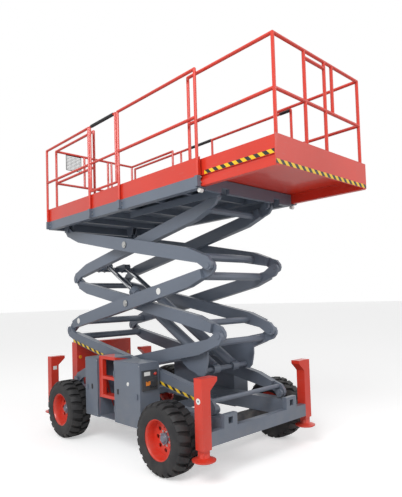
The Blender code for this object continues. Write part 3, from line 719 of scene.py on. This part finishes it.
def makeGroundControls():
    low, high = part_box("ground_panel")
    x = low.x + 0.0185
    bm = bmesh.new()
    addBox(bm, (x, low.y + 0.025, high.z - 0.062), (x + 0.0012, low.y + 0.115, high.z - 0.016))
    finishPiece(bm, "panel_blank_label", "whiteLabel", "chassis")
    bm = bmesh.new()
    addBox(bm, (x, low.y + 0.050, high.z - 0.182), (x + 0.0012, low.y + 0.116, high.z - 0.130))
    finishPiece(bm, "panel_orange_label", "orangeLabel", "chassis")
    radius, y, z = chassis["buttonRadius"], high.y - 0.040, high.z - 0.045
    bm = bmesh.new()
    addRod(bm, (x, y, z), (x + 0.014, y, z), radius, 28)
    addRod(bm, (x + 0.014, y, z), (x + 0.020, y, z), radius, 28, radius * 0.7)
    finishPiece(bm, "stop_button", "redPaint", "chassis", 35)
    z = low.z + 0.040
    bm = bmesh.new()
    for k in range(chassis["switches"]):
        y = low.y + 0.120 + 0.035 * k
        addRod(bm, (x, y, z), (x + 0.010, y, z), chassis["switchRadius"], 16)
        addRod(bm, (x + 0.010, y, z), (x + 0.024, y, z + 0.010), chassis["leverRadius"], 12)
    finishPiece(bm, "panel_switches", "blackPlastic", "chassis", 35)


def makeDoorFurniture():
    wide, tall = chassis["latchSize"]
    for tag, inset in chassis["latchInsets"].items():
        body = f"door_{tag}"
        low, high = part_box(body)
        face = low.y + 0.0140
        x, z = low.x + inset, chassis["latchHeight"]
        bm = bmesh.new()
        addBox(bm, (x - wide / 2, face - 0.006, z - tall / 2), (x + wide / 2, face, z + tall / 2))
        finishPiece(bm, f"door_latch_{tag}", "blackPlastic", body)
        bm = bmesh.new()
        for dx in (0.012, high.x - low.x - 0.012):
            for dz in (0.030, high.z - low.z - 0.030):
                addBolt(bm, (low.x + dx, face, low.z + dz), (0, -1, 0), 0.005)
        finishPiece(bm, f"door_screws_{tag}", "zincSteel", body, 35)
    low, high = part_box("door_right_front")
    bm = bmesh.new()
    place = Vector((low.x + chassis["capInset"], low.y + 0.014, chassis["capHeight"]))
    addRod(bm, place, place + Vector((0, -0.006, 0)), chassis["capRadius"], 28, chassis["capRadius"] - 0.003)
    finishPiece(bm, "filler_cap", "whiteLabel", "door_right_front", 35)


def makeOutriggerLabels():
    discs, dots = bmesh.new(), bmesh.new()
    for name in ("outrigger_front_right", "outrigger_front_left"):
        low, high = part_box(name)
        side, y = (-1, low.y) if low.y < 0 else (1, high.y)
        outer, out = Vector(((low.x + high.x) / 2, y, chassis["discHeight"])), Vector((0, side, 0))
        addRod(discs, outer + out * 0.0002, outer + out * 0.0014, chassis["discRadius"], 32)
        addRod(dots, outer + out * 0.0014, outer + out * 0.0022, chassis["discRadius"] * 0.3, 20)
    finishPiece(discs, "outrigger_discs", "whiteLabel", "chassis")
    finishPiece(dots, "outrigger_disc_centres", "blackPlastic", "chassis")
    z0, z1 = chassis["labelZ"]
    bm = bmesh.new()
    for name in ("outrigger_rear_right", "outrigger_rear_left"):
        low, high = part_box(name)
        x, y = high.x + 0.0003, chassis["labelY"] if low.y > 0 else -chassis["labelY"]
        addBox(bm, (x, y - 0.030, z0), (x + 0.0010, y + 0.030, z1))
    finishPiece(bm, "outrigger_blank_labels", "whiteLabel", "chassis")


def makeAmberLamps():
    low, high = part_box("rear_cover")
    x, z, radius = high.x, chassis["lampHeight"], chassis["lampRadius"]
    bm = bmesh.new()
    for y in (high.y - 0.060, low.y + 0.060):
        addRod(bm, (x + 0.0002, y, z), (x + 0.009, y, z), radius, 28, radius * 0.8)
    finishPiece(bm, "amber_lamps", "amberLens", "chassis", 35)


makeGroundControls()
makeDoorFurniture()
makeOutriggerLabels()
makeAmberLamps()
print("chassis dressed")


# floor, backdrop light and lamps
studio = {
    "floorHalf": 120.0, "floorPaint": (0.86, 0.86, 0.86), "floorGlow": 0.42, "worldLight": 0.46,
    "keyPlace": (4.5, -8.5, 8.5), "keyPower": 760, "fillPlace": (8.0, 3.0, 5.0), "fillPower": 120,
    "lampSize": 5.0, "aimHeight": 2.2,
}


def makeFloor():
    floorMesh = bpy.data.meshes.new("floor")
    half = studio["floorHalf"]
    corners = [(-half, -half, 0), (half, -half, 0), (half, half, 0), (-half, half, 0)]
    floorMesh.from_pydata(corners, [], [(0, 1, 2, 3)])
    floor = bpy.data.objects.new("floor", floorMesh)
    bpy.context.scene.collection.objects.link(floor)
    floor.location.z = -0.0015
    paper = bpy.data.materials.new("floorPaper")
    paper.use_nodes = True
    tree = paper.node_tree
    shader, out = tree.nodes["Principled BSDF"], tree.nodes["Material Output"]
    shader.inputs["Base Color"].default_value = (*studio["floorPaint"], 1)
    shader.inputs["Roughness"].default_value = 0.9
    glow, path = tree.nodes.new("ShaderNodeEmission"), tree.nodes.new("ShaderNodeLightPath")
    join = tree.nodes.new("ShaderNodeAddShader")
    strength = mathNode(tree, "MULTIPLY", path.outputs["Is Camera Ray"], studio["floorGlow"])
    tree.links.new(strength, glow.inputs["Strength"])
    tree.links.new(shader.outputs[0], join.inputs[0])
    tree.links.new(glow.outputs[0], join.inputs[1])
    tree.links.new(join.outputs[0], out.inputs["Surface"])
    floorMesh.materials.append(paper)


# white where it is seen or reflected, dimmer as a light
def makeWorld():
    world = bpy.data.worlds.new("studio")
    bpy.context.scene.world = world
    world.use_nodes = True
    tree = world.node_tree
    sky, path = tree.nodes["Background"], tree.nodes.new("ShaderNodeLightPath")
    sky.inputs["Color"].default_value = (1, 1, 1, 1)
    seen = mathNode(tree, "MAXIMUM", path.outputs["Is Camera Ray"], path.outputs["Is Glossy Ray"])
    extra = mathNode(tree, "MULTIPLY", seen, 1.0 - studio["worldLight"])
    tree.links.new(mathNode(tree, "ADD", extra, studio["worldLight"]), sky.inputs["Strength"])


def makeLamps():
    target = Vector((0, 0, studio["aimHeight"]))
    for name in ("key", "fill"):
        lamp = bpy.data.objects.new(name, bpy.data.lights.new(name, "AREA"))
        lamp.data.size, lamp.data.energy = studio["lampSize"], studio[f"{name}Power"]
        lamp.location = studio[f"{name}Place"]
        lamp.rotation_mode = "QUATERNION"
        lamp.rotation_quaternion = (target - Vector(studio[f"{name}Place"])).to_track_quat("-Z", "Y")
        bpy.context.scene.collection.objects.link(lamp)


makeFloor()
makeWorld()
makeLamps()
bpy.context.scene.view_settings.view_transform = "Standard"
print("studio made")
